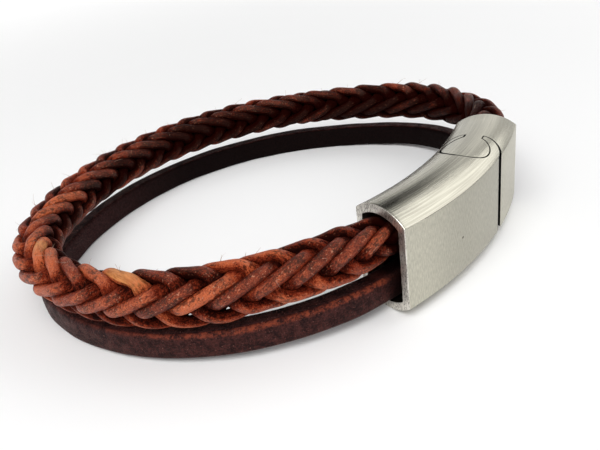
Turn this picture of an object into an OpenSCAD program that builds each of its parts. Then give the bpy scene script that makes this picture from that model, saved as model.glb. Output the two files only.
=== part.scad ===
// Leather bracelet with a steel clasp, lying on its side.
// A braid of eight round leather strands runs above a flat leather strap, and both ends of each
// go into the sockets of a curved two-part clasp. The wrist goes through along Z.
// The outer line of the bracelet, seen from above, is a closed chain of tangent arcs. A place on it
// is named by its heading: 0 is the middle of the clasp at the front, and headings go round by +X.

/* [Clasp] */
// Length of the clasp along its outer face
clasp_len = 34.8; // [32:0.2:37]
// Radius of the clasp's outer face, seen from above
clasp_r = 60; // [57:1:64]
// Thickness of the clasp towards the wrist
clasp_w = 9; // [8.8:0.1:9.4]
// Height of the flat outer face
clasp_flat = 11.7; // [11.5:0.1:12.2]
// Rise of the rounded top and bottom beyond the flat face
clasp_bulge = 1.7; // [1.6:0.1:1.9]
// Wall of each socket
clasp_wall = 1.2; // [1:0.05:1.3]
// Depth of each socket
socket_depth = 7; // [6.6:0.1:7]
// Distance of the parting line from the clasp's middle, towards the short half
seam_at = 4.9; // [4.6:0.1:5.2]
// Gap between the two halves on the outer and inner faces
seam_gap = 0.4; // [0.2:0.05:0.4]
// Gap round the tongue
tongue_gap = 0.18; // [0.1:0.01:0.2]
// Length of the oval that the tongue's head is cut from
tongue_len = 7; // [6.8:0.1:7.1]
// Width of the tongue's head
tongue_w = 6.5; // [6.2:0.1:6.6]
// Width of the tongue's neck
neck_w = 2.4; // [2:0.1:2.6]
// Reach of the tongue's round end into the long half
tongue_reach = 4.05; // [3.9:0.05:4.2]
// Length of the long half's two horns, which hold the tongue
horn_len = 3.6; // [3.5:0.05:3.8]

/* [Loop seen from above] */
// Radius of the side next to the long half
near_r = 38.5; // [38:0.5:39]
// Angle that this side turns through
near_turn = 83; // [81:1:84]
// Radius of the tight end after it
end_r = 22.5; // [22:0.5:23]
// Radius of the back
back_r = 45.5; // [45:0.5:46]
// Radius of the side next to the short half
far_r = 26.5; // [26:0.5:27]

/* [Flat strap] */
// Thickness of the strap
strap_t = 2.6; // [2.4:0.1:2.8]
// Height of the strap
strap_h = 3.9; // [3.7:0.1:4]
// Distance of the strap's outer side from the clasp's outer face
strap_inset = 3.1; // [2.8:0.1:3.4]
// Height of the strap's lower edge where it enters the clasp
strap_base = 1.6; // [1.5:0.1:1.8]
// Chamfer along the strap's edges
strap_edge = 0.45; // [0.3:0.05:0.6]

/* [Braid] */
// Outer diameter of the braid
braid_d = 6.8; // [6.6:0.1:6.9]
// Length in which one strand goes once round the braid
lay = 17.8; // [17.4:0.2:20]
// The same where the braid is loosest, at the short half's mouth
loose_lay = 20.6; // [20:0.1:21.6]
// Height of the braid's middle where it enters the clasp
braid_z = 10.7; // [10.6:0.05:10.8]
// How far the braid sinks towards the strap away from the clasp
braid_sink = 2; // [1.8:0.1:2.2]
// Share of its thickness that the braid keeps inside the sockets
braid_squeeze = 0.83; // [0.8:0.01:0.84]
// Width of a strand where it shows, and where it is covered
strand_w = [1.65, 1.1]; // [0.8:0.01:1.65]
// Thickness of a strand where it shows, and where it is covered
strand_t = [1.65, 1]; // [0.8:0.01:1.65]
// Distance of a covered strand from the braid's middle
waist = 1.2; // [1.15:0.01:1.22]
// Angle by which the braid's four sides are turned about its length
braid_roll = 45; // [0:1:90]
// How far that turn is lost part of the way along the near side and the far side
braid_unroll = 42; // [0:1:60]
// How far the lowest strands hang below the braid along the near side
strand_slack = 1; // [0:0.1:1]
// Where the braid's pattern starts
braid_phase = 45; // [0:5:355]

/* [Hidden] */
$fn = 96;

steel_colour = [0.74, 0.73, 0.69];
braid_colour = [0.45, 0.2, 0.12];
strap_colour = [0.25, 0.12, 0.1];

// The clasp's section
clasp_h = clasp_flat + 2 * clasp_bulge;
bulge_r = (pow(clasp_w / 2, 2) + pow(clasp_bulge, 2)) / (2 * clasp_bulge);
clasp_half = clasp_len / 2;
seam_step = 0.3;
// The tongue's head is widest at this distance from its round end
head_mid = 3.05;
curve_steps = 7;
clasp_turn = arc_angle(clasp_half, clasp_r);

// The chain of arcs: centres for a clasp whose middle is at the origin
clasp_c = [0, clasp_r];
far_c = clasp_c + (clasp_r - far_r) * aim(clasp_turn);
near_c = clasp_c + (clasp_r - near_r) * aim(-clasp_turn);
end_c = near_c + (near_r - end_r) * aim(-clasp_turn - near_turn);
// The back touches the arcs on both its sides, so its centre is back_r less their radii from theirs
span = end_c - far_c;
span_along = (pow(back_r - far_r, 2) - pow(back_r - end_r, 2) + span * span) / (2 * norm(span));
span_across = sqrt(pow(back_r - far_r, 2) - pow(span_along, 2));
back_c = far_c + (span_along * span + span_across * [-span[1], span[0]]) / norm(span);

// Headings at which one arc ends and the next begins
far_end = heading_of(far_c - back_c);
back_end = heading_of(end_c - back_c);
end_end = 360 - clasp_turn - near_turn;
near_end = 360 - clasp_turn;

// The middle of the braid, and the length of leather between the two mouths along it
middle = clasp_w / 2;
far_len = arc_len(far_r - middle, far_end - clasp_turn);
back_len = arc_len(back_r - middle, back_end - far_end);
end_len = arc_len(end_r - middle, end_end - back_end);
near_len = arc_len(near_r - middle, near_turn);
leather_len = far_len + back_len + end_len + near_len;

// Leather reaches this far into each socket, and settles onto the ground over this length
tuck = 5.8;
settle_len = 48;
squeeze_len = 6;

// Heading as a function of the length along the leather, from the short half's mouth
tuck_turn = arc_angle(tuck, clasp_r - middle);
headings = [
    [-tuck, clasp_turn - tuck_turn],
    [0, clasp_turn],
    [far_len, far_end],
    [far_len + back_len, back_end],
    [far_len + back_len + end_len, end_end],
    [leather_len, near_end],
    [leather_len + tuck, near_end + tuck_turn]
];

// The middle of the bracelet's outline, which goes to the origin. The strands reach further from
// the braid's middle at the left and the right of the loop than at its back.
outline_left = near_c[0] - near_r + middle - 1.09 * braid_d / 2;
outline_right = far_c[0] + far_r - middle + 1.1 * braid_d / 2;
outline_back = back_c[1] + back_r - middle + 0.85 * braid_d / 2;
centre = [(outline_left + outline_right) / 2, outline_back / 2];

// A strand goes round the braid's middle in an ellipse. It reaches far out on the two sides where
// it shows, and passes nearer to the middle where the others cover it. Its crests are flattened by
// a share, and it lingers there by this angle.
reach = (braid_d - strand_t[0]) / 2;
crest = 0.13;
linger = 4;
strand_sides = 6;
rings_per_lay = 13;
strap_step = 3;
// The braid loosens over this length from the short half's mouth
loose_len = 110;
// The places where the braid has lost its turn, as distances from the long half's mouth and from the
// short half's mouth, and the length on both sides of each that this is spread over
near_unroll_at = 41;
far_unroll_at = 30;
unroll_len = 38;
// The stretch of the near side, measured from the long half's mouth, where the lowest strands hang
slack_from = 16;
slack_to = 62;

function arc_len(r, turn) = r * turn * PI / 180;
function arc_angle(len, r) = len / r * 180 / PI;
// The direction from an arc's centre to the place with this heading
function aim(heading) = [sin(heading), -cos(heading)];
function heading_of(v) = (atan2(v[0], -v[1]) + 360) % 360;
function smooth(x) = let(c = min(1, max(0, x))) c * c * (3 - 2 * c);

function arc_at(heading) =
    heading < clasp_turn || heading > near_end ? [clasp_c, clasp_r] :
    heading < far_end ? [far_c, far_r] :
    heading < back_end ? [back_c, back_r] :
    heading < end_end ? [end_c, end_r] : [near_c, near_r];

// The point of the plan that lies inset from the outer line, at this length along the leather
function plan_point(len, inset) =
    let(heading = lookup(len, headings), arc = arc_at(heading))
    arc[0] + (arc[1] - inset) * aim(heading) - centre;

// How far along the leather a place is from the nearer mouth, and what has sunk by there
function from_mouth(len) = min(len, leather_len - len);
function sunk(len, depth) = depth * smooth(from_mouth(len) / settle_len);

// A closed solid through rings of points that all have the same number of points. The sides are
// split along the diagonal that follows the rings' turn, which is the other one when hand is -1.
module skin(rings, hand = 1) {
    n = len(rings[0]);
    last = (len(rings) - 1) * n;
    sides = [
        for (i = [0 : len(rings) - 2], j = [0 : n - 1])
            let(a = i * n + j, b = i * n + (j + 1) % n)
            each hand > 0
                ? [[a, b, a + n], [b, b + n, a + n]]
                : [[a, b, b + n], [a, b + n, a + n]]
    ];
    caps = [
        for (j = [1 : n - 2])
            each [[0, j + 1, j], [last, last + j, last + j + 1]]
    ];
    polyhedron([for (ring = rings) each ring], concat(sides, caps));
}

// The clasp's section beside the arc's axis: flat inner and outer sides, rounded top and bottom
module clasp_section(wall) {
    intersection() {
        translate([clasp_r - clasp_w + wall, 0])
            square([clasp_w - 2 * wall, clasp_h]);
        union() {
            for (z = [bulge_r, clasp_h - bulge_r])
                translate([clasp_r - clasp_w / 2, z])
                    circle(bulge_r - wall);
        }
    }
}

// A length of the clasp's bar, between two distances from its middle along the outer face
module clasp_bar(from, to, wall = 0) {
    translate([-centre[0], clasp_r - centre[1], 0])
        rotate([0, 0, arc_angle(from, clasp_r) - 90])
            rotate_extrude(angle = arc_angle(to - from, clasp_r))
                clasp_section(wall);
}

// An outline in the clasp's own measures, along it from the parting line and across its thickness
module clasp_prism(outline) {
    translate([0, 0, -1])
        linear_extrude(clasp_h + 2)
            polygon([
                for (p = outline)
                    let(heading = arc_angle(seam_at + p[0], clasp_r))
                    clasp_c - centre + (clasp_r - middle - p[1]) * aim(heading)
            ]);
}

// The parting between the halves: an oval tongue on a neck, held by two horns of the long half. The
// outline is the short half's when room is 1, and the hole for it in the long half when it is 0.
function parting_outline(room) =
    let(
        side = clasp_w / 2,
        grow = (1 - room) * tongue_gap,
        head = tongue_w / 2 + grow,
        neck = neck_w / 2 + grow,
        shoulder = acos(neck / head),
        widest = head_mid - tongue_reach,
        tip = (neck_w / 2 + tongue_gap) + room * tongue_gap,
        root = side - seam_step + room * tongue_gap,
        past_end = clasp_half - seam_at + 2,
        edge = concat(
            [
                for (i = [1 : curve_steps])
                    let(a = 90 * i / curve_steps)
                    [widest - (head_mid + grow) * cos(a), head * sin(a)]
            ],
            [
                for (i = [1 : curve_steps])
                    let(a = shoulder * i / curve_steps)
                    [widest + (tongue_len - head_mid + grow) * sin(a), head * cos(a)]
            ],
            [[horn_len + room * tongue_gap, neck]],
            [
                for (i = [curve_steps : -1 : 0])
                    let(a = 90 * i / curve_steps, gap = room * (seam_gap + (tongue_gap - seam_gap) * sin(a)))
                    [horn_len * sin(a) + gap, tip + (root - tip) * cos(a)]
            ],
            [[room * seam_gap, side + 2], [past_end, side + 2]]
        )
    )
    concat(edge, [for (i = [len(edge) - 1 : -1 : 0]) [edge[i][0], -edge[i][1]]]);

module clasp_long_half() {
    color(steel_colour)
        difference() {
            clasp_bar(-clasp_half, seam_at + horn_len + 1);
            clasp_prism(parting_outline(0));
            clasp_bar(-clasp_half - 1, socket_depth - clasp_half, clasp_wall);
        }
}

module clasp_short_half() {
    color(steel_colour)
        difference() {
            intersection() {
                clasp_bar(seam_at - tongue_reach - 1, clasp_half);
                clasp_prism(parting_outline(1));
            }
            clasp_bar(clasp_half - socket_depth, clasp_half + 1, clasp_wall);
        }
}

// The strap's section: [inset from the clasp's outer face, height above the lower edge]
function strap_section() =
    let(x0 = strap_inset, x1 = strap_inset + strap_t, e = strap_edge)
    [
        [x0 + e, 0], [x0, e], [x0, strap_h - e], [x0 + e, strap_h],
        [x1 - e, strap_h], [x1, strap_h - e], [x1, e], [x1 - e, 0]
    ];

module flat_strap() {
    steps = ceil((leather_len + 2 * tuck) / strap_step);
    color(strap_colour)
        skin([
            for (i = [0 : steps])
                let(
                    at = -tuck + (leather_len + 2 * tuck) * i / steps,
                    z = strap_base - sunk(at, strap_base)
                )
                [for (p = strap_section()) let(q = plan_point(at, p[0])) [q[0], q[1], z + p[1]]]
        ]);
}

// Strands 1 to 4 go round one way and 5 to 8 the other, each over two of the others and under two.
// The first four show on the outer and inner sides of the braid, and the rest above and below.
function strand_hand(k) = k <= 4 ? 1 : -1;
// The length that would hold as many turns at the tight lay
function tight_len(at) =
    at + (1 - lay / loose_lay) * pow(max(0, loose_len - at), 2) / (2 * loose_len);
function strand_turn(k, at) =
    strand_hand(k) * (360 * tight_len(at) / lay + braid_phase) + 90 * k + (k <= 4 ? 0 : 45);
// 1 where a strand shows and 0 where the others cover it
function strand_shows(k, turn) = (1 + strand_hand(k) * cos(2 * turn)) / 2;
function braid_turned(at) =
    let(
        near = smooth(1 - abs(leather_len - at - near_unroll_at) / unroll_len),
        far = smooth(1 - abs(at - far_unroll_at) / unroll_len)
    )
    braid_roll - braid_unroll * (near + far);
function squeezed(at) = braid_squeeze + (1 - braid_squeeze) * smooth(from_mouth(at) / squeeze_len);
// A sine or cosine whose crests are flattened
function flattened(s) = s * (1 + 3 * crest - 4 * crest * s * s) / (1 - crest);
// Where a strand is about the braid's middle: [distance, angle], with 0 outwards and 90 up
function strand_place(k, at) =
    let(
        turn = strand_turn(k, at),
        held = turn - strand_hand(k) * linger * sin(2 * turn),
        x = strand_hand(k) > 0 ? reach * flattened(cos(held)) : waist * cos(held),
        y = strand_hand(k) > 0 ? waist * sin(held) : reach * flattened(sin(held))
    )
    [squeezed(at) * norm([x, y]), atan2(y, x) + braid_turned(at)];
// Strands that show under the braid on the near side hang lower
function strand_hang(at, angle, shows) =
    let(
        from_near = leather_len - at,
        along = smooth((from_near - slack_from) / 6) * smooth((slack_to - from_near) / 12),
        under = pow(min(0, sin(angle)), 2)
    )
    strand_slack * along * under * shows;

function strand_point(k, at) =
    let(
        place = strand_place(k, at),
        r = place[0],
        angle = place[1],
        shows = strand_shows(k, strand_turn(k, at)),
        q = plan_point(at, middle - r * cos(angle)),
        hang = strand_hand(k) < 0 ? strand_hang(at, angle, shows) : 0
    )
    [q[0], q[1], braid_z - sunk(at, braid_sink) + r * sin(angle) - hang];

// One ring of points round a strand: an ellipse across the strand's own direction, narrower where
// the bend crowds the strands on the inner side of the loop
function strand_ring(k, at) =
    let(
        angle = strand_place(k, at)[1],
        shows = strand_shows(k, strand_turn(k, at)),
        here = strand_point(k, at),
        ahead = strand_point(k, at + 0.05) - strand_point(k, at - 0.05),
        side = plan_point(at, -1) - plan_point(at, 0),
        out = [side[0] * cos(angle), side[1] * cos(angle), sin(angle)],
        along = ahead / norm(ahead),
        across = cross(along, out) / norm(cross(along, out)),
        up = cross(across, along),
        bend_r = arc_at(lookup(at, headings))[1] - middle,
        crowd = min(1, 1 + cos(angle) * braid_d / 2 / bend_r),
        w = squeezed(at) * crowd * (strand_w[1] + (strand_w[0] - strand_w[1]) * shows),
        t = squeezed(at) * (strand_t[1] + (strand_t[0] - strand_t[1]) * shows)
    )
    [
        for (i = [0 : strand_sides - 1])
            let(a = 360 * (i + 0.5) / strand_sides)
            here + across * w / 2 * cos(a) + up * t / 2 * sin(a)
    ];

module braid_strand(k) {
    steps = ceil((leather_len + 2 * tuck) * rings_per_lay / lay);
    color(braid_colour)
        skin(
            [for (i = [0 : steps]) strand_ring(k, -tuck + (leather_len + 2 * tuck) * i / steps)],
            strand_hand(k)
        );
}

clasp_long_half();
clasp_short_half();
flat_strap();
braid_strand(1);  // braid_strand_1
braid_strand(2);  // braid_strand_2
braid_strand(3);  // braid_strand_3
braid_strand(4);  // braid_strand_4
braid_strand(5);  // braid_strand_5
braid_strand(6);  // braid_strand_6
braid_strand(7);  // braid_strand_7
braid_strand(8);  // braid_strand_8
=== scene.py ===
# Leather bracelet: a braided row and a flat strap in a two-part steel clasp, lying on a pale floor.
import math
import bpy
import numpy as np
from mathutils import Matrix, Vector


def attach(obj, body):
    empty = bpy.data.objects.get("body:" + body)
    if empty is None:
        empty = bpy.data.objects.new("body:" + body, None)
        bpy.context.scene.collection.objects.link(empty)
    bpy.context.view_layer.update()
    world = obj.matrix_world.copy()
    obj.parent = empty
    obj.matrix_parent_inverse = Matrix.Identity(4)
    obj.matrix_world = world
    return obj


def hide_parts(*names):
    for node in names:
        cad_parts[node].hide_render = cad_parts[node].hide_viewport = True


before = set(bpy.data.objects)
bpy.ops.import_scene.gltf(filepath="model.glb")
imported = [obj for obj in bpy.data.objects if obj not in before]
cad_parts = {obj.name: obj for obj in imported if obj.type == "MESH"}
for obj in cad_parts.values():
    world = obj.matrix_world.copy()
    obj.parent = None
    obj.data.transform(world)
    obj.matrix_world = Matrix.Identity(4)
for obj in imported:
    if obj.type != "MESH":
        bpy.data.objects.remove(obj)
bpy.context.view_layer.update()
mm = 0.001
bpy.context.scene.view_settings.view_transform = "Standard"

# The loop seen from above, in millimetres: a closed chain of tangent arcs. A place on it has a
# heading, which is 0 at the middle of the clasp and grows by the right-hand side. Lengths along the
# leather start at the short half's mouth, the far one, and end at the long half's, the near one.
loop = {
    "claspRadius": 60.0,  # these radii are of the loop's outer line
    "claspLength": 34.8,
    "claspWidth": 9.0,
    "nearRadius": 38.5,
    "nearTurn": 83.0,  # degrees that the near side goes round
    "endRadius": 22.5,
    "backRadius": 45.5,
    "farRadius": 26.5,
    "tuck": 5.8,  # how deep the leather stands in the mouths
    "settleLength": 48.0,  # it comes down from a mouth over this length
    "braidWidth": 6.8,
    "leftShare": 1.09,  # how far the braid stands out on three sides, in half widths
    "rightShare": 1.1,
    "backShare": 0.85,
}


def aim(heading):
    # The direction from an arc's centre to the place with this heading
    return np.stack([np.sin(heading), -np.cos(heading)], -1)


def headingOf(v):
    # The heading of the place that a direction aims at, from 0 to a whole turn
    return math.atan2(v[0], -v[1]) % (2 * math.pi)


def smooth(x):
    # 0 up to x = 0, 1 from x = 1 on, and 3 x^2 - 2 x^3 between
    c = np.clip(x, 0, 1)
    return c * c * (3 - 2 * c)


def makeLoop(v):
    # Each arc's centre lies on the line through the last centre and the place where the two meet
    middle = v["claspWidth"] / 2
    claspTurn = v["claspLength"] / 2 / v["claspRadius"]
    nearTurn = math.radians(v["nearTurn"])
    claspC = np.array([0, v["claspRadius"]])
    farC = claspC + (v["claspRadius"] - v["farRadius"]) * aim(claspTurn)
    nearC = claspC + (v["claspRadius"] - v["nearRadius"]) * aim(-claspTurn)
    endC = nearC + (v["nearRadius"] - v["endRadius"]) * aim(-claspTurn - nearTurn)
    toFar = v["backRadius"] - v["farRadius"]
    toEnd = v["backRadius"] - v["endRadius"]
    span = endC - farC
    length = np.linalg.norm(span)
    along = (toFar**2 - toEnd**2 + length**2) / (2 * length)
    across = math.sqrt(toFar**2 - along**2)
    backC = farC + (along * span + across * np.array([-span[1], span[0]])) / length
    ends = [
        claspTurn,
        headingOf(farC - backC),
        headingOf(endC - backC),
        2 * math.pi - claspTurn - nearTurn,
        2 * math.pi - claspTurn,
    ]
    radii = np.array([v["claspRadius"], v["farRadius"], v["backRadius"], v["endRadius"],
                      v["nearRadius"], v["claspRadius"]])
    lengths = np.concatenate([[0], np.cumsum((radii[1:5] - middle) * np.diff(ends))])
    tuckTurn = v["tuck"] / (v["claspRadius"] - middle)
    left = nearC[0] - v["nearRadius"] + middle - v["leftShare"] * v["braidWidth"] / 2
    right = farC[0] + v["farRadius"] - middle + v["rightShare"] * v["braidWidth"] / 2
    back = backC[1] + v["backRadius"] - middle + v["backShare"] * v["braidWidth"] / 2
    return {
        "centres": np.array([claspC, farC, backC, endC, nearC, claspC]),
        "radii": radii,
        "ends": np.array(ends),
        "lengths": np.concatenate([[-v["tuck"]], lengths, [lengths[-1] + v["tuck"]]]),
        "headings": np.array([claspTurn - tuckTurn, *ends, ends[-1] + tuckTurn]),
        "total": lengths[-1],
        "origin": np.array([(left + right) / 2, back / 2]),
        "middle": middle,
    }


route = makeLoop(loop)
claspCentre = route["centres"][0] - route["origin"]


def arcAt(at):
    # The heading at a length along the leather, and which arc it is on
    heading = np.interp(at, route["lengths"], route["headings"])
    return heading, np.searchsorted(route["ends"], heading, side="right")


def planPoint(at, inset):
    # The point of the plan that lies inset from the loop's outer line: the arc's centre, plus the
    # arc's radius less the inset, times the direction of the heading
    heading, arc = arcAt(at)
    radius = (route["radii"][arc] - inset)[..., None]
    return route["centres"][arc] + radius * aim(heading) - route["origin"]


def outwardOf(at, angle):
    # The direction at an angle about the leather's middle: 0 is level and away from the loop's
    # inside, and a quarter turn is straight up
    side = planPoint(at, np.full(at.shape, -1.0)) - planPoint(at, np.zeros(at.shape))
    return np.concatenate([side * np.cos(angle)[:, None], np.sin(angle)[:, None]], 1)


def fromMouth(at):
    # The length to the nearer of the two mouths
    return np.minimum(at, route["total"] - at)


def sunk(at, depth):
    # How far the leather has come down at this length from its height in the sockets: an S from 0
    # to depth over the settle length
    return depth * smooth(fromMouth(at) / loop["settleLength"])


def wobble(x, seed, waves, shortest, longest):
    # A sum of sine waves with lengths and phases drawn once from the seed, of size about 1
    usualCrest = 1.6
    draw = np.random.default_rng(seed)
    lengths = np.exp(draw.uniform(math.log(shortest), math.log(longest), waves))
    phases = draw.uniform(0, 2 * math.pi, waves)
    total = sum(np.sin(2 * math.pi * x / step + turn) for step, turn in zip(lengths, phases))
    return total / math.sqrt(waves / 2) / usualCrest


def unit(v):
    # Each vector divided by its own length
    return v / np.linalg.norm(v, axis=-1, keepdims=True)


def meshFrom(name, places, quads, triangles):
    # A smooth-shaded mesh of whole arrays: places in metres, and corners by their numbers
    mesh = bpy.data.meshes.new(name)
    mesh.vertices.add(len(places))
    mesh.vertices.foreach_set("co", places.astype(np.float32).ravel())
    corners = np.concatenate([quads.ravel(), triangles.ravel()])
    starts = np.concatenate([np.arange(len(quads)) * 4,
                             len(quads) * 4 + np.arange(len(triangles)) * 3])
    mesh.loops.add(len(corners))
    mesh.loops.foreach_set("vertex_index", corners.astype(np.int32))
    mesh.polygons.add(len(starts))
    mesh.polygons.foreach_set("loop_start", starts.astype(np.int32))
    mesh.polygons.foreach_set("use_smooth", np.ones(len(starts), bool))
    mesh.update(calc_edges=True)
    mesh.validate()
    return mesh


def tubeMesh(name, points, attributes=None):
    # points is a grid in millimetres: one row for each ring, one column round the ring. Rings are
    # joined by quads, each end is closed by a fan, and faces are turned to point outwards.
    rings, sides = points.shape[:2]
    ends = np.stack([points[0].mean(0), points[-1].mean(0)])
    places = np.concatenate([points.reshape(-1, 3), ends]) * mm
    i, j = np.meshgrid(np.arange(rings - 1), np.arange(sides), indexing="ij")
    a, b = i * sides + j, i * sides + (j + 1) % sides
    quads = np.stack([a, b, b + sides, a + sides], -1).reshape(-1, 4)
    j = np.arange(sides)
    k = (j + 1) % sides
    last = (rings - 1) * sides
    first = np.full(sides, rings * sides)
    fans = np.concatenate([np.stack([k, j, first], -1),
                           np.stack([last + j, last + k, first + 1], -1)])
    across = points[1] - points[0]
    turn = np.cross(points[0] - ends[0], np.roll(points[0], -1, 0) - ends[0])
    if (turn * across).sum() < 0:
        quads, fans = quads[:, ::-1], fans[:, ::-1]
    mesh = meshFrom(name, places, quads, fans)
    for label, values in (attributes or {}).items():
        grid = values.reshape(rings * sides, -1)
        capped = np.concatenate([grid, grid[:1], grid[-1:]])
        kind = "FLOAT_VECTOR" if capped.shape[1] == 3 else "FLOAT"
        made = mesh.attributes.new(label, kind, "POINT")
        field = "vector" if kind == "FLOAT_VECTOR" else "value"
        made.data.foreach_set(field, capped.astype(np.float32).ravel())
    return mesh


def newObject(name, data):
    # It stays at the origin, unturned and unscaled, until it is placed
    made = bpy.data.objects.new(name, data)
    bpy.context.scene.collection.objects.link(made)
    return made


def addPiece(name, mesh, material, slotName, *nodes):
    # A visible piece on the one body, with its material, in place of the solids that it dresses
    piece = newObject(name, mesh)
    mesh.materials.append(material)
    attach(piece, "root")
    if nodes:
        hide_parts(*nodes)


# Shader helpers

def addNode(tree, kind, inputs=None, **settings):
    # One shader node. Inputs are plain values or other nodes' sockets, by name or number.
    made = tree.nodes.new("ShaderNode" + kind)
    for name, value in settings.items():
        setattr(made, name, value)
    for name, value in (inputs or {}).items():
        if isinstance(value, bpy.types.NodeSocket):
            tree.links.new(value, made.inputs[name])
        else:
            made.inputs[name].default_value = value
    return made


def calc(tree, operation, a, b=0.0):
    return addNode(tree, "Math", {0: a, 1: b}, operation=operation).outputs[0]


def plus(tree, total, *others):  # the sum of two values or more
    for other in others:
        total = calc(tree, "ADD", total, other)
    return total


def times(tree, product, *others):  # the product of two values or more
    for other in others:
        product = calc(tree, "MULTIPLY", product, other)
    return product


def minus(tree, a, b):
    return calc(tree, "SUBTRACT", a, b)


def remap(tree, value, low, high, toLow=0.0, toHigh=1.0):
    # An S between toLow, where the value is low, and toHigh, where it is high
    made = addNode(tree, "MapRange", {0: value, 1: low, 2: high, 3: toLow, 4: toHigh},
                   interpolation_type="SMOOTHSTEP")
    return made.outputs[0]


def blend(tree, share, a, b):
    # Each colour is a socket or three numbers
    a, b = ((*colour, 1) if isinstance(colour, tuple) else colour for colour in (a, b))
    return addNode(tree, "Mix", {0: share, 6: a, 7: b}, data_type="RGBA").outputs[2]


def blendValues(tree, share, a, b):
    return addNode(tree, "Mix", {0: share, 2: a, 3: b}).outputs[0]


def noise(tree, vector, scale, detail, roughness, distortion=0.0, stretch=None):
    # A stretch multiplies the vector first, so a small number draws the pattern out that way
    if stretch:
        vector = addNode(tree, "Mapping", {"Vector": vector, "Scale": stretch}).outputs[0]
    made = addNode(tree, "TexNoise", {"Vector": vector, "Scale": scale, "Detail": detail,
                                      "Roughness": roughness, "Distortion": distortion})
    return made.outputs[0]


def vectorCalc(tree, operation, a, b=None):
    # Gives the node's outputs: Vector, and Value where the result is a number
    inputs = {0: a} if b is None else {0: a, 1: b}
    return addNode(tree, "VectorMath", inputs, operation=operation).outputs


def bumpNormal(tree, height, v):
    bump = {"Height": height, "Strength": v["bump"], "Distance": v["bumpDepth"] * mm}
    return addNode(tree, "Bump", bump).outputs[0]


def connect(tree, shader, sockets):
    for name, socket in sockets.items():
        tree.links.new(socket, shader.inputs[name])


def attribute(tree, name):
    return addNode(tree, "Attribute", attribute_name=name, attribute_type="GEOMETRY")


def newMaterial(name, colour, roughness, metallic=0.0, specular=0.5):
    material = bpy.data.materials.new(name)
    material.use_nodes = True
    material.diffuse_color = (*colour[:3], 1)
    shader = material.node_tree.nodes["Principled BSDF"]
    shader.inputs["Base Color"].default_value = (*colour[:3], 1)
    shader.inputs["Roughness"].default_value = roughness
    shader.inputs["Metallic"].default_value = metallic
    shader.inputs["Specular IOR Level"].default_value = specular
    return material, material.node_tree, shader


# Braid

braid = {
    "count": 8,
    # How the strands go round: the length of a turn on the near side and at the far mouth, the
    # length over which it changes, and by how many degrees a strand lingers where it shows
    "lay": 17.8,
    "looseLay": 20.6,
    "looseLength": 110.0,
    "phase": 45.0,
    "linger": 4.0,
    # The braid's height in the mouths, how far it sinks between them, and its roll, most of which is
    # lost around a place on either side, given by its length from that side's mouth
    "height": 10.7,
    "sink": 2.0,
    "roll": 45.0,
    "unroll": 42.0,
    "nearUnrollAt": 41.0,
    "farUnrollAt": 30.0,
    "unrollLength": 38.0,
    # How far the lowest strands hang on the near side, where, and how soon this starts and ends
    "slack": 1.0,
    "slackFrom": 16.0,
    "slackTo": 62.0,
    "slackStart": 6.0,
    "slackEnd": 12.0,
    # The mouths squeeze the braid to this share of its size, over this length
    "squeeze": 0.83,
    "squeezeLength": 6.0,
    # The ellipse that a strand follows, and how much its crests are flattened
    "reach": 2.575,
    "waist": 1.2,
    "crest": 0.13,
    # A strand's own section where it is covered and where it shows, how fast it changes from the
    # one to the other, and how uneven it is: share, waves, and their shortest and longest
    "widths": (2.5, 1.7),
    "thicknesses": (1.6, 1.6),
    "swell": 2.8,
    "unevenness": 0.035,
    "waves": (7, 3, 25),
    "widthSeed": 100,
    "rings": 1250,
    "sides": 28,
    # Tones: drawn ones, a painted pool of light along the braid with painted shade away from it, and
    # painted shade taken off inside the loop, on the far side and in the mouths
    "toneSeed": 20,
    "toneCount": 80,
    "paintedLight": 1.1,
    "paintedLightAt": 120.0,
    "paintedLightLength": 32.0,
    "paintedLightPeak": 1.7,
    "paintedLightBase": 0.85,
    "insideShade": 3.2,
    "insideShadeStart": 0.1,
    "insideShadeGain": 1.1,
    "farShade": 1.6,
    "farShadeTo": 55.0,
    "farShadeFade": 50.0,
    "mouthShade": 9.0,
    "mouthShadeFrom": 0.8,
    "mouthShadeFade": 2.0,
    # Tones that are set and not drawn, for pale floats and a dark one: (strand, stretch, tone)
    "setTones": ((5, -14, 5.8), (5, -12, 4.0), (5, -10, 3.4), (5, -16, 3.6), (8, -14, 3.2),
                 (1, 18, 2.4), (6, -2, -1.2)),
    "bareFall": 0.7,
    "cordSpacing": 40.0,  # keeps one cord's grain apart from the next one's
    # Colours of the leather
    "plainColour": (0.16, 0.035, 0.018),
    "deepColour": (0.012, 0.001, 0.0006),
    "bodyColour": (0.185, 0.022, 0.008),
    "wornLitColour": (0.53, 0.118, 0.042),
    "pitColour": (0.012, 0.001, 0.0008),
    "fleckGlintColour": (0.62, 0.27, 0.16),
    "undyedColours": ((0.36, 0.12, 0.035), (0.72, 0.29, 0.10)),
    "glossTint": (1.0, 0.74, 0.56, 1),
    # What each adds to how light a place is, how strong pits and pale flecks with painted glints are,
    # and the relief
    "toneShare": 0.12,
    "cloudShare": 0.6,
    "bareShare": 0.4,
    "creaseShare": 0.5,
    "pitShare": 0.75,
    "fleckGlintShare": 0.7,
    "creaseRelief": 0.6,
    "grainRelief": 0.8,
    "bump": 0.9,
    "bumpDepth": 0.3,
    # Ramps: from and to, and what each gives there if not 0 and 1
    "speckleRamp": (0.3, 0.7, -0.16, 0.16),
    "bodyRamp": (0.38, 0.9),
    "wornLitRamp": (0.75, 1.3),
    "patchRamp": (0.35, 0.6, 0.36, 0.5),
    "pitRamp": (0.03, -0.05),
    "fleckGlintRamp": (0.63, 0.7),
    "unshadedRamp": (-4.5, -1.8, 0.2, 1.0),
    "undyedTone": (3.0, 5.0),
    "undyedBare": (0.0, 0.4),
    "undyedRamp": (0.3, 0.7),
    "roughRamp": (0.3, 0.7, 0.56, 0.32),
    "glossRamp": (0.45, 1.0, 0.04, 0.42),
}


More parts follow.
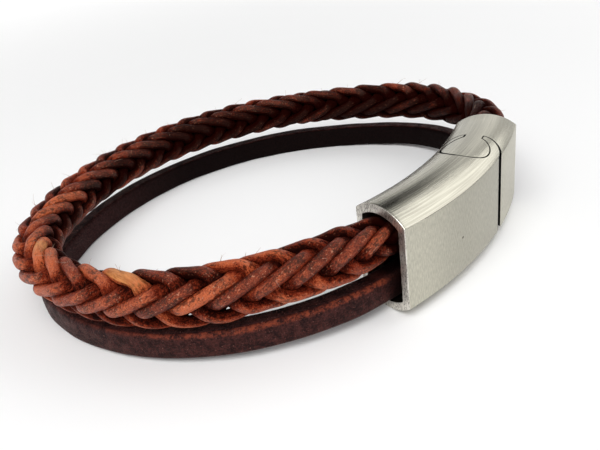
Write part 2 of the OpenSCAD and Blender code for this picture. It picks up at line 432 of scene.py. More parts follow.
def strandHand(k):
    # The first half of the strands go round one way, the second half the other
    return 1 if k <= braid["count"] // 2 else -1


def flattened(s):
    # A sine or cosine whose crests are flattened by a share of its third harmonic
    share = braid["crest"]
    return s * (1 + 3 * share - 4 * share * s * s) / (1 - share)


def strandLine(k, at):
    # Centre line of strand k at lengths along the leather: it goes round the braid's middle in an
    # ellipse, long towards the two sides where it shows and short where the others cover it. The
    # lay grows towards the short half's mouth: the turn slows down evenly from looseLength on. The
    # ellipse is rolled about the braid's middle and squeezed in the mouths.
    v = braid
    hand = strandHand(k)
    slowed = (1 - v["lay"] / v["looseLay"]) * np.maximum(0, v["looseLength"] - at) ** 2
    tight = at + slowed / (2 * v["looseLength"])
    apart = 720 / v["count"]
    startAngle = apart * k + (0 if hand > 0 else apart / 2)
    turn = np.radians(hand * (360 * tight / v["lay"] + v["phase"]) + startAngle)
    shows = (1 + hand * np.cos(2 * turn)) / 2
    fromNear = route["total"] - at
    nearLost = smooth(1 - np.abs(fromNear - v["nearUnrollAt"]) / v["unrollLength"])
    farLost = smooth(1 - np.abs(at - v["farUnrollAt"]) / v["unrollLength"])
    rolled = v["roll"] - v["unroll"] * (nearLost + farLost)
    squeezed = v["squeeze"] + (1 - v["squeeze"]) * smooth(fromMouth(at) / v["squeezeLength"])
    held = turn - hand * np.radians(v["linger"]) * np.sin(2 * turn)
    if hand > 0:
        x, y = v["reach"] * flattened(np.cos(held)), v["waist"] * np.sin(held)
    else:
        x, y = v["waist"] * np.cos(held), v["reach"] * flattened(np.sin(held))
    radius = squeezed * np.hypot(x, y)
    angle = np.arctan2(y, x) + np.radians(rolled)
    plan = planPoint(at, route["middle"] - radius * np.cos(angle))
    height = v["height"] - sunk(at, v["sink"]) + radius * np.sin(angle)
    if hand < 0:
        hanging = (smooth((fromNear - v["slackFrom"]) / v["slackStart"])
                   * smooth((v["slackTo"] - fromNear) / v["slackEnd"]))
        height = height - v["slack"] * hanging * np.minimum(0, np.sin(angle)) ** 2 * shows
    return np.concatenate([plan, height[:, None]], 1), turn, angle, shows, squeezed


def strandToneLightShade(k, at, turn, angle):
    # How pale the leather looks: a tone for each stretch between two crossings, with straight lines
    # between them, plus a painted pool of light, a bell along the braid with painted shade away from
    # it, less painted shade inside the loop, on the far side and in the mouths, each of which comes
    # in with an S
    v = braid
    stretchNumber = (turn - (0 if strandHand(k) > 0 else math.pi / 2)) / math.pi
    half = v["toneCount"] // 2
    tones = np.random.default_rng(v["toneSeed"] + k).normal(0, 1, v["toneCount"])
    for strand, number, value in v["setTones"]:
        if strand == k:
            tones[number + half] = value
    toneLightShade = np.interp(stretchNumber, np.arange(-half, half), tones)
    # Painted shade on the side of the braid that faces the loop's inside
    toneLightShade = toneLightShade - v["insideShade"] * smooth(-v["insideShadeStart"] - v["insideShadeGain"] * np.cos(angle))
    # A painted pool of light: a bell along the braid, with painted shade away from it
    bell = np.exp(-((at - v["paintedLightAt"]) / v["paintedLightLength"]) ** 2)
    toneLightShade = toneLightShade + v["paintedLight"] * (v["paintedLightPeak"] * bell - v["paintedLightBase"])
    # Painted shade on the far side
    toneLightShade = toneLightShade - v["farShade"] * (1 - smooth((at - v["farShadeTo"]) / v["farShadeFade"]))
    # Painted shade in the mouths, deep inside the sockets
    outside = smooth((fromMouth(at) + v["mouthShadeFrom"]) / v["mouthShadeFade"])
    return toneLightShade - v["mouthShade"] * (1 - outside)


def strandMesh(k):
    # An ellipse carried along the centre line, across its direction, wider where it is covered and
    # narrower where the braid's inner side crowds it in a bend
    v = braid
    at = np.linspace(-loop["tuck"], route["total"] + loop["tuck"], v["rings"])
    here, turn, angle, shows, squeezed = strandLine(k, at)
    step = 0.05
    along = unit(strandLine(k, at + step)[0] - strandLine(k, at - step)[0])
    across = unit(np.cross(along, outwardOf(at, angle)))
    up = np.cross(across, along)
    bend = route["radii"][arcAt(at)[1]] - route["middle"]
    crowd = np.minimum(1, 1 + np.cos(angle) * v["reach"] / bend)
    length = np.concatenate([[0], np.cumsum(np.linalg.norm(np.diff(here, axis=0), axis=1))])
    full = smooth(shows * v["swell"])
    uneven = 1 + v["unevenness"] * wobble(length, v["widthSeed"] + k, *v["waves"])
    coveredWidth, shownWidth = v["widths"]
    coveredThick, shownThick = v["thicknesses"]
    width = squeezed * crowd * uneven * (coveredWidth + (shownWidth - coveredWidth) * full)
    thick = squeezed * uneven * (coveredThick + (shownThick - coveredThick) * full)
    a = 2 * math.pi * np.arange(v["sides"]) / v["sides"]
    sideways = width[:, None] / 2 * np.cos(a)
    upwards = thick[:, None] / 2 * np.sin(a)
    points = here[:, None] + across[:, None] * sideways[..., None] + up[:, None] * upwards[..., None]
    # What the material reads: the cord's own space for its grain; how bare a place is, which gives
    # wear and a painted highlight on the crests and painted shade where the cord is covered; and its
    # tone, which holds painted light and shade
    ownLength = length[:, None] + v["cordSpacing"] * k
    cordSpace = np.stack(np.broadcast_arrays(sideways, upwards, ownLength), -1)
    bare = full[:, None] * np.clip(np.sin(a), 0, 1)[None] ** v["bareFall"]
    toneLightShade = np.broadcast_to(strandToneLightShade(k, at, turn, angle)[:, None], bare.shape)
    return tubeMesh("strand_%d" % k, points, {"cordSpace": cordSpace, "bare": bare, "toneLightShade": toneLightShade})


def cordMaterial():
    # Waxed round leather cord: painted shade in the hollows, worn lighter on top with a painted
    # highlight there, with pits and pale flecks that double as painted glints
    v = braid
    material, tree, shader = newMaterial("braidLeather", v["plainColour"], roughness=0.42)
    shader.inputs["Specular Tint"].default_value = v["glossTint"]
    space = attribute(tree, "cordSpace").outputs["Vector"]
    bare = attribute(tree, "bare").outputs["Fac"]
    toneLightShade = attribute(tree, "toneLightShade").outputs["Fac"]
    clouds = noise(tree, space, scale=0.8, detail=3.0, roughness=0.55)
    creases = noise(tree, space, scale=2.6, detail=5.0, roughness=0.62, distortion=0.3,
                    stretch=(1.0, 1.0, 0.25))
    grain = noise(tree, space, scale=3.3, detail=4.0, roughness=0.72, stretch=(1.0, 1.0, 0.7))
    speckle = noise(tree, space, scale=5.2, detail=2.0, roughness=0.6)
    # How light a place is: the tone with its painted light and shade, clouds, creases and speckle, and
    # bareness, for wear and a painted highlight on crests and painted shade where the cord is covered
    lightness = plus(tree, times(tree, toneLightShade, v["toneShare"]), times(tree, clouds, v["cloudShare"]),
                     times(tree, bare, v["bareShare"]), times(tree, creases, v["creaseShare"]),
                     remap(tree, speckle, *v["speckleRamp"]))
    low = blend(tree, remap(tree, lightness, *v["bodyRamp"]), v["deepColour"], v["bodyColour"])
    colour = blend(tree, remap(tree, lightness, *v["wornLitRamp"]), low, v["wornLitColour"])
    # Pits come in patches: some stretches are smooth and others are peppered with them
    patches = noise(tree, space, scale=0.55, detail=2.0, roughness=0.5)
    pits = remap(tree, minus(tree, grain, remap(tree, patches, *v["patchRamp"])), *v["pitRamp"])
    colour = blend(tree, times(tree, pits, v["pitShare"]), colour, v["pitColour"])
    # Where the tone holds painted shade, on the loop's inner side, on the far side and in the mouths,
    # there are few pale flecks with painted glints and little gloss
    unshaded = remap(tree, toneLightShade, *v["unshadedRamp"])
    # Pale flecks on the bare crests, which double as painted glints
    flecks = remap(tree, noise(tree, space, scale=4.6, detail=2.0, roughness=0.5), *v["fleckGlintRamp"])
    flecks = times(tree, times(tree, flecks, unshaded), times(tree, bare, v["fleckGlintShare"]))
    colour = blend(tree, flecks, colour, v["fleckGlintColour"])
    # A float or two has kept the pale orange of undyed leather
    undyed = times(tree, remap(tree, toneLightShade, *v["undyedTone"]), remap(tree, bare, *v["undyedBare"]))
    pale = blend(tree, remap(tree, creases, *v["undyedRamp"]), *v["undyedColours"])
    colour = blend(tree, undyed, colour, pale)
    relief = plus(tree, times(tree, creases, v["creaseRelief"]), times(tree, grain, v["grainRelief"]))
    connect(tree, shader, {
        "Base Color": colour,
        "Roughness": remap(tree, creases, *v["roughRamp"]),
        "Specular IOR Level": times(tree, remap(tree, bare, *v["glossRamp"]), unshaded),
        "Normal": bumpNormal(tree, relief, v),
    })
    return material


braidLeather = cordMaterial()
for k in range(1, braid["count"] + 1):
    addPiece("cord_strand_%d" % k, strandMesh(k), braidLeather, "braid_leather", "braid_strand_%d" % k)
print("braid:", braid["count"], "strands")

# Stray fibres: fine pale hairs that stand off the cords, bent to one side

fibres = {
    "count": 90,
    "seed": 11,
    "shortest": 0.5,
    "longest": 1.5,
    "radius": 0.028,
    "taper": 0.6,
    "rings": 6,
    "sides": 4,
    "fromMouth": 4.0,  # none is nearer to a mouth than this
    "tries": 40,  # places drawn for each, of which the barest and highest is taken
    "highShare": 0.3,
    "standOff": 0.75,  # from the cord's centre line to the fibre's root
    "lean": 0.7,
    "bend": (0.2, 0.9),
    "colour": (0.42, 0.27, 0.2),
}


def fibreMesh():
    # Each is a thin tube along a parabola: start + lift s + bend s^2, for s from 0 to 1
    v = fibres
    rings, sides = v["rings"], v["sides"]
    draw = np.random.default_rng(v["seed"])
    places, quads, fans = [], [], []
    s = np.linspace(0, 1, rings)[:, None]
    a = 2 * math.pi / sides * np.arange(sides)
    i, j = np.meshgrid(np.arange(rings - 1), np.arange(sides), indexing="ij")
    corner, beside = i * sides + j, i * sides + (j + 1) % sides
    tubeQuads = np.stack([corner, beside, beside + sides, corner + sides], -1).reshape(-1, 4)
    j = np.arange(1, sides - 1)
    startFan = np.stack([0 * j, j + 1, j], -1)[::-1]
    endFan = sides * (rings - 1) + np.stack([0 * j, j, j + 1], -1)
    tubeFans = np.concatenate([startFan, endFan])
    for n in range(v["count"]):
        k = int(draw.integers(1, braid["count"] + 1))
        at = draw.uniform(v["fromMouth"], route["total"] - v["fromMouth"], v["tries"])
        here, _, angle, shows, _ = strandLine(k, at)
        best = np.argmax(shows + v["highShare"] * np.sin(angle))
        outward = outwardOf(at, angle)[best]
        length = draw.uniform(v["shortest"], v["longest"])
        lift = unit(outward + v["lean"] * draw.normal(size=3)) * length
        bend = unit(np.cross(outward, draw.normal(size=3))) * length * draw.uniform(*v["bend"])
        line = here[best] + outward * v["standOff"] + lift * s + bend * s**2
        across = unit(np.cross(lift, bend))
        up = unit(np.cross(across, lift))
        radius = v["radius"] * (1 - v["taper"] * s)
        ring = across[None] * np.cos(a)[:, None] + up[None] * np.sin(a)[:, None]
        places.append((line[:, None] + radius[:, None] * ring[None]).reshape(-1, 3))
        firstCorner = n * sides * rings
        quads.append(tubeQuads + firstCorner)
        fans.append(tubeFans + firstCorner)
    places, quads, fans = (np.concatenate(parts) for parts in (places, quads, fans))
    return meshFrom("stray_fibres", places * mm, quads, fans)


fibreLeather, _, _ = newMaterial("fibre", fibres["colour"], roughness=0.6, specular=0.3)
addPiece("stray_fibres", fibreMesh(), fibreLeather, "braid_leather")
print("stray fibres")

# Flat strap

strap = {
    "thickness": 2.6,
    "height": 3.9,
    "inset": 3.1,  # of its outer face from the loop's outer line
    "base": 1.6,  # height of its lower edge in the mouths
    "edgeRadius": 0.5,
    "crown": 0.08,  # how much thicker it is at its middle height
    "cornerSteps": 6,
    "facePoints": 12,
    "rings": 760,
    "unevenness": 0.04,
    # Colours: pairs run from dark to light, or from the far side to the near mouth
    "plainColour": (0.04, 0.012, 0.010),
    "faceColours": ((0.011, 0.002, 0.002), (0.062, 0.015, 0.012)),
    "fleckGlintColour": (0.26, 0.11, 0.085),
    "edgeColours": ((0.13, 0.030, 0.020), (0.24, 0.045, 0.018)),
    "lowEdgeHighlightColour": (0.16, 0.09, 0.08),
    "shadedFleshColours": ((0.002, 0.0006, 0.0006), (0.008, 0.0026, 0.0024)),
    "nearFleshColours": ((0.010, 0.003, 0.003), (0.070, 0.026, 0.025)),
    "pitColour": (0.008, 0.002, 0.002),
    # Shares of the noises, and the relief
    "cloudShare": 0.5,
    "speckleShare": 0.6,
    "fleckGlintShare": 0.8,
    "lowEdgeHighlightShare": 0.6,
    "pitShare": 0.7,
    "grainRelief": 0.8,
    "fibreRelief": 0.4,
    "bump": 0.7,
    "bumpDepth": 0.2,
    # Ramps: from and to, and what each gives there if not 0 and 1. Those of a place are in
    # millimetres: along the strap, out from its middle, or up from it.
    "faceRamp": (0.45, 0.66),
    "fleckGlintRamp": (0.66, 0.72),
    "patchRamp": (0.42, 0.62),
    "reddensFrom": 50.0,
    "reddensTo": 12.0,
    "edgeBase": (1.6, 1.0),  # where the worn edge starts, on the far side and near the mouth
    "edgeUp": (0.0, 0.5),
    "edgeOut": (0.8, 1.1),
    "lowEdgeUp": (-1.5, -1.8),
    "lowEdgeOut": (0.5, 1.0),
    "innerOut": (-0.9, -1.2),
    "fibreRamp": (0.3, 0.8, 0.0, 0.5),
    "speckleRamp": (0.45, 0.6, 0.0, 0.5),
    "fleshShadeEndsAlong": (75.0, 108.0),
    "pitRamp": (0.44, 0.32),
    "mouthShadeRamp": (-1.5, 0.7, 0.0, 0.92),
    "roughRamp": (0.3, 0.7, 0.62, 0.46),
    "glossOut": (0.2, 1.0, 0.05, 0.12),
}


def strapSection():
    # A rectangle about its middle with round corners, as points in order round it: four quarter
    # circles, and evenly spaced points on the straight sides between them
    v = strap
    radius = v["edgeRadius"]
    parts = []
    for n, (sx, sz) in enumerate([(1, 1), (-1, 1), (-1, -1), (1, -1)]):
        centre = np.array([sx * (v["thickness"] / 2 - radius), sz * (v["height"] / 2 - radius)])
        a = math.pi / 2 * (n + np.linspace(0, 1, v["cornerSteps"] + 1))
        parts.append(centre + radius * np.stack([np.cos(a), np.sin(a)], 1))
    ring = []
    for n, corner in enumerate(parts):
        following = parts[(n + 1) % 4][0]
        share = np.linspace(0, 1, v["facePoints"] + 2)[1:-1, None]
        ring += [corner, corner[-1] + (following - corner[-1]) * share]
    return np.concatenate(ring)


def strapMesh():
    # A rounded rectangle carried along the loop on edge. It is crowned: its width grows towards its
    # middle height as a parabola does. It is a little uneven, and cut off level at the floor.
    v = strap
    at = np.linspace(-loop["tuck"], route["total"] + loop["tuck"], v["rings"])
    x, z = strapSection().T
    crowned = x * (1 + v["crown"] * (1 - (2 * z / v["height"]) ** 2))
    thick = 1 + v["unevenness"] * wobble(at, seed=3, waves=6, shortest=5, longest=40)
    tall = 1 + v["unevenness"] / 2 * wobble(at, seed=4, waves=6, shortest=8, longest=40)
    inset = v["inset"] + v["thickness"] / 2 - crowned[None] * thick[:, None]
    low = v["base"] - sunk(at, v["base"])
    height = low[:, None] + v["height"] / 2 + z[None] * tall[:, None]
    height = np.maximum(height, 0.0)
    plan = planPoint(np.broadcast_to(at[:, None], inset.shape), inset)
    points = np.concatenate([plan, height[..., None]], -1)
    strapSpace = np.stack(np.broadcast_arrays(at[:, None], x[None], z[None]), -1)
    return tubeMesh("flat_strap", points, {"strapSpace": strapSpace})


def strapMaterial():
    # Dark waxed strap leather: speckled faces with pale flecks that double as painted glints, a worn
    # reddish line along the upper outer edge that is partly a painted highlight, a painted highlight
    # along the lower outer edge, and a dark upright fibre on the inner, flesh side, with painted shade
    # there and in the mouths
    v = strap
    material, tree, shader = newMaterial("strapLeather", v["plainColour"], roughness=0.5)
    space = attribute(tree, "strapSpace").outputs["Vector"]
    along, out, up = addNode(tree, "SeparateXYZ", {0: space}).outputs
    clouds = noise(tree, space, scale=0.7, detail=4.0, roughness=0.6)
    grain = noise(tree, space, scale=3.6, detail=4.0, roughness=0.7)
    fibre = noise(tree, space, scale=2.0, detail=4.0, roughness=0.6, stretch=(5.0, 1.0, 0.9))
    speckle = noise(tree, space, scale=3.1, detail=3.0, roughness=0.7)
    flecks = noise(tree, space, scale=3.8, detail=2.0, roughness=0.55)
    # Speckled face with sparse pale flecks, which double as painted glints
    shade = plus(tree, times(tree, clouds, v["cloudShare"]), times(tree, speckle, v["speckleShare"]))
    face = blend(tree, remap(tree, shade, *v["faceRamp"]), *v["faceColours"])
    fleck = times(tree, remap(tree, flecks, *v["fleckGlintRamp"]), v["fleckGlintShare"])
    face = blend(tree, fleck, face, v["fleckGlintColour"])
    # The upper edge's line, worn and partly a painted highlight, widens, reddens and breaks up near
    # the long half
    towardsMouth = remap(tree, along, route["total"] - v["reddensFrom"], route["total"] - v["reddensTo"])
    patches = plus(tree, times(tree, clouds, 0.5), times(tree, grain, 0.5))
    edgeFrom = remap(tree, towardsMouth, 0.0, 1.0, *v["edgeBase"])
    edgeLine = times(tree, remap(tree, minus(tree, up, edgeFrom), *v["edgeUp"]),
                     remap(tree, out, *v["edgeOut"]), remap(tree, patches, *v["patchRamp"]))
    edgeColour = blend(tree, towardsMouth, *v["edgeColours"])
    colour = blend(tree, edgeLine, face, edgeColour)
    # A painted highlight along the lower outer edge, towards the long half
    lowEdgeHighlight = times(tree, remap(tree, up, *v["lowEdgeUp"]), remap(tree, out, *v["lowEdgeOut"]))
    lowEdgeHighlight = times(tree, lowEdgeHighlight, times(tree, towardsMouth, v["lowEdgeHighlightShare"]))
    colour = blend(tree, lowEdgeHighlight, colour, v["lowEdgeHighlightColour"])
    # The flesh side carries painted shade: deep on the far side, lighter and browner from the left
    # turn on
    fleshTone = plus(tree, remap(tree, fibre, *v["fibreRamp"]), remap(tree, speckle, *v["speckleRamp"]))
    shadedFlesh = blend(tree, fleshTone, *v["shadedFleshColours"])
    nearFlesh = blend(tree, fleshTone, *v["nearFleshColours"])
    flesh = blend(tree, remap(tree, along, *v["fleshShadeEndsAlong"]), shadedFlesh, nearFlesh)
    colour = blend(tree, remap(tree, out, *v["innerOut"]), colour, flesh)
    # Dark in the pits, and painted shade in the mouths, both in the pit colour
    middle = route["total"] / 2
    fromMiddle = calc(tree, "ABSOLUTE", minus(tree, along, middle))
    mouthStart, mouthEnd, *mouthLevels = v["mouthShadeRamp"]
    mouths = remap(tree, fromMiddle, middle + mouthStart, middle + mouthEnd, *mouthLevels)
    pits = times(tree, remap(tree, grain, *v["pitRamp"]), v["pitShare"])
    colour = blend(tree, calc(tree, "MAXIMUM", pits, mouths), colour, v["pitColour"])
    relief = plus(tree, times(tree, grain, v["grainRelief"]), times(tree, fibre, v["fibreRelief"]))
    connect(tree, shader, {
        "Base Color": colour,
        "Roughness": remap(tree, clouds, *v["roughRamp"]),
        "Specular IOR Level": remap(tree, out, *v["glossOut"]),
        "Normal": bumpNormal(tree, relief, v),
    })
    return material


addPiece("leather_strap", strapMesh(), strapMaterial(), "strap_leather", "flat_strap")
print("flat strap")

# Clasp

clasp = {
    "flat": 11.7,  # height of the flat sides
    "bulge": 1.7,  # how far the arch above and the one below stand past them
    "wall": 1.2,
    "socketDepth": 7.0,
    "seamAt": 4.9,  # along the outer face from the clasp's middle
    "seamGap": 0.75,
    "tongueGap": 0.18,
    "innerGap": 0.32,
    "tongueLength": 7.0,
    "tongueWidth": 6.5,
    "neckWidth": 2.4,
    "tongueReach": 4.05,  # how far it stands past the seam
    "headMiddle": 3.05,  # from its round end to where it is widest
    "hornLength": 3.6,
    "seamStep": 0.12,  # from the outer side in to where the horn's curve starts
    "edgeRadius": 0.3,
    "rimRadius": 0.18,
    "socketRadius": 0.4,
    "overlap": 1.0,  # how far a cutting shape reaches past what it cuts
    # Steps round an edge, a half of the arch, a flat side, a rim and the parting's curves
    "edgeSteps": 6,
    "archSteps": 13,
    "sideSteps": 8,
    "rimSteps": 5,
    "curveSteps": 24,
    "stations": 120,
    "sharpAngle": 32.0,
    # Colours: pairs run from dark to light
    "plainColour": (0.74, 0.73, 0.65),
    "steelColours": ((0.41, 0.39, 0.325), (0.60, 0.58, 0.485)),
    "flatShadeColour": (0.02, 0.02, 0.03),
    "partingShadeColour": (0.004, 0.004, 0.004),
    "rimHighlightColour": (0.80, 0.77, 0.70),
    "stainColour": (0.07, 0.045, 0.03),
    "pitColour": (0.05, 0.04, 0.03),
    "flatShadeShare": 0.2,
    "stainShare": 0.9,
    "satinRelief": 0.1,
    "cloudRough": 0.12,
    "bump": 0.35,
    "bumpDepth": 0.09,
    # Where things are on it, in millimetres
    "flatShadePastSeam": 0.3,
    "wallInside": 0.03,
    "partingReach": 14.0,
    "pitAt": (-6.3, loop["claspRadius"], 6.93),
    # Ramps: from and to, and what each gives there if not 0 and 1
    "brushAlong": (-1.0, 6.0, 0.85, 0.35),
    "brushRamp": (0.25, 0.75),
    "roundedRamp": (0.25, 0.6),
    "flatShadeAlong": (-16.0, -6.0),
    "rimFromEnd": (-0.12, -0.03),
    "crackRamp": (0.04, 0.0),
    "pitRamp": (0.24, 0.1),
    "roughRamp": (0.0, 1.0, 0.34, 0.17),
}


def claspSection(shrink, radius):
    # Flat inner and outer sides joined by an arc above and below, with round edges between. Points
    # are (out from the clasp's middle line, up from its middle height), in order round it.
    v = clasp
    half, tall = loop["claspWidth"] / 2, v["flat"] / 2 + v["bulge"]
    arc = (half**2 + v["bulge"] ** 2) / (2 * v["bulge"])
    half, arcIn = half - shrink, arc - shrink
    centre = tall - arc
    # The round edge touches the flat side and the arc, so its centre is inside both by its radius
    x = half - radius
    z = centre + math.sqrt((arcIn - radius) ** 2 - x**2)
    tilt = math.atan2(z - centre, x)
    turns = np.linspace(0, tilt, v["edgeSteps"] + 1)
    edge = np.array([x, z]) + radius * np.stack([np.cos(turns), np.sin(turns)], 1)
    turns = np.linspace(tilt, math.pi / 2, v["archSteps"] + 1)[1:]
    arch = np.array([0, centre]) + arcIn * np.stack([np.cos(turns), np.sin(turns)], 1)
    quarter = np.concatenate([edge, arch])
    upper = np.concatenate([quarter, (quarter * [-1, 1])[::-1][1:]])
    heights = np.linspace(upper[-1, 1], -upper[-1, 1], v["sideSteps"] + 1)[1:-1]
    left = np.stack([np.full(len(heights), -half), heights], 1)
    right = np.stack([np.full(len(heights), half), heights[::-1]], 1)
    return np.concatenate([upper, left, (upper * [1, -1])[::-1], right])


def claspPlace(along, out, up):
    # The place at a length along the outer face from the clasp's middle, out from the middle line
    # and up from the middle height: the clasp's centre plus a radius times the heading's direction
    heading = along / loop["claspRadius"]
    radius = (loop["claspRadius"] - route["middle"] + out)[..., None]
    plan = claspCentre + radius * aim(heading)
    return np.concatenate([plan, (up + clasp["flat"] / 2 + clasp["bulge"])[..., None]], -1)


def claspBar(name, start, stop, roundStart, roundStop, shrink=0.0, radius=clasp["edgeRadius"]):
    # The section carried from start to stop, drawn in over a quarter round at the rounded ends
    v = clasp
    rim = v["rimRadius"]
    turns = np.linspace(0, math.pi / 2, v["rimSteps"] + 1)
    inset, drawnIn = rim * (1 - np.sin(turns)), rim * (1 - np.cos(turns))
    plain = np.zeros(1)
    along = [start + (inset[::-1][:-1] if roundStart else plain),
             np.linspace(start + rim, stop - rim, v["stations"]),
             stop - (inset[1:] if roundStop else plain)]
    drawn = [drawnIn[::-1][:-1] if roundStart else plain,
             np.zeros(v["stations"]),
             drawnIn[1:] if roundStop else plain]
    along, drawn = np.concatenate(along), np.concatenate(drawn)
    sections = np.stack([claspSection(shrink + d, radius) for d in drawn])
    grid = np.broadcast_to(along[:, None], sections.shape[:2])
    return tubeMesh(name, claspPlace(grid, sections[..., 0], sections[..., 1]))


def partingSide(room, gap):
    # Half of the parting's outline, seen from above: a quarter ellipse round the tongue's end, a part
    # of one in to the neck, the horn's tip, and a quarter ellipse from there out to the seam. Points
    # are (along from the seam, across). room is 1 for the short half and 0 for the hole in the long
    # half, and gap is the space between the two beside the tongue.
    v = clasp
    side = loop["claspWidth"] / 2
    beyond = 2 * v["overlap"]
    grow = (1 - room) * gap
    head, neck = v["tongueWidth"] / 2 + grow, v["neckWidth"] / 2 + grow
    widest = v["headMiddle"] - v["tongueReach"]
    tip = v["neckWidth"] / 2 + gap * (1 + room)
    root = side - v["seamStep"] + room * gap
    pastEnd = loop["claspLength"] / 2 - v["seamAt"] + beyond
    steps = np.linspace(0, 1, v["curveSteps"] + 1)
    a = math.pi / 2 * steps[1:]
    roundEnd = np.stack([widest - (v["headMiddle"] + grow) * np.cos(a), head * np.sin(a)], 1)
    a = math.acos(neck / head) * steps[1:]
    neckReach = v["tongueLength"] - v["headMiddle"] + grow
    neckSide = np.stack([widest + neckReach * np.sin(a), head * np.cos(a)], 1)
    a = math.pi / 2 * steps[::-1]
    parted = room * (v["seamGap"] + (v["tongueGap"] - v["seamGap"]) * np.sqrt(np.sin(a)))
    horn = np.stack([v["hornLength"] * np.sin(a) + parted, tip + (root - tip) * np.cos(a)], 1)
    throat = [[v["hornLength"] + room * v["tongueGap"], neck]]
    outside = [[room * v["seamGap"], side + beyond], [pastEnd, side + beyond]]
    return np.concatenate([roundEnd, neckSide, throat, horn, outside])


def partingOutline(room):
    # Both halves of the outline in one round. The inner side's gap is the wider one, as the tongue
    # sits a little towards the outer side.
    outer, inner = partingSide(room, clasp["tongueGap"]), partingSide(room, clasp["innerGap"])
    return np.concatenate([inner, (outer * [1, -1])[::-1]])


def partingPrism(name, room):
    # The parting's outline bent round the clasp and carried straight up through its whole height
    outline = partingOutline(room)[::-1]
    heading = (clasp["seamAt"] + outline[:, 0]) / loop["claspRadius"]
    radius = loop["claspRadius"] - route["middle"] - outline[:, 1]
    plan = claspCentre + radius[:, None] * aim(heading)
    n = len(plan)
    tall = clasp["flat"] + 2 * clasp["bulge"]
    low = np.concatenate([plan, np.full((n, 1), -clasp["overlap"])], 1)
    high = np.concatenate([plan, np.full((n, 1), tall + clasp["overlap"])], 1)
    mesh = bpy.data.meshes.new(name)
    sides = [(i, (i + 1) % n, n + (i + 1) % n, n + i) for i in range(n)]
    caps = [tuple(range(n))[::-1], tuple(range(n, 2 * n))]
    mesh.from_pydata((np.concatenate([low, high]) * mm).tolist(), [], sides + caps)
    mesh.update()
    return mesh


def cut(mesh, steps):
    # Applies one exact boolean for each (operation, mesh) in steps, and returns the cut mesh
    work = newObject("work", mesh)
    tools = []
    for operation, other in steps:
        tools.append(newObject("tool", other))
        modifier = work.modifiers.new("cut", "BOOLEAN")
        modifier.operation = operation
        modifier.object = tools[-1]
        modifier.solver = "EXACT"
    bpy.context.view_layer.update()
    evaluated = work.evaluated_get(bpy.context.evaluated_depsgraph_get())
    made = bpy.data.meshes.new_from_object(evaluated)
    for thing in [work, *tools]:
        bpy.data.objects.remove(thing)
    made.set_sharp_from_angle(angle=math.radians(clasp["sharpAngle"]))
    return made


def claspHalves():
    # Each half is a bar less its socket. The long half loses the tongue's hole, and the short half
    # is what of its bar lies inside the parting's outline.
    v = clasp
    half, past = loop["claspLength"] / 2, v["overlap"]
    toSocket = half - v["socketDepth"]
    longBar = claspBar("longBar", -half, v["seamAt"] + v["hornLength"] + past, True, False)
    shortBar = claspBar("shortBar", v["seamAt"] - v["tongueReach"] - past, half, False, True)
    socket = {"roundStart": False, "roundStop": False, "shrink": v["wall"], "radius": v["socketRadius"]}
    longSocket = claspBar("longSocket", -half - past, -toSocket, **socket)
    shortSocket = claspBar("shortSocket", toSocket, half + past, **socket)
    longHalf = cut(longBar, [("DIFFERENCE", partingPrism("hole", 0)), ("DIFFERENCE", longSocket)])
    shortHalf = cut(shortBar, [("INTERSECT", partingPrism("tongue", 1)), ("DIFFERENCE", shortSocket)])
    return longHalf, shortHalf


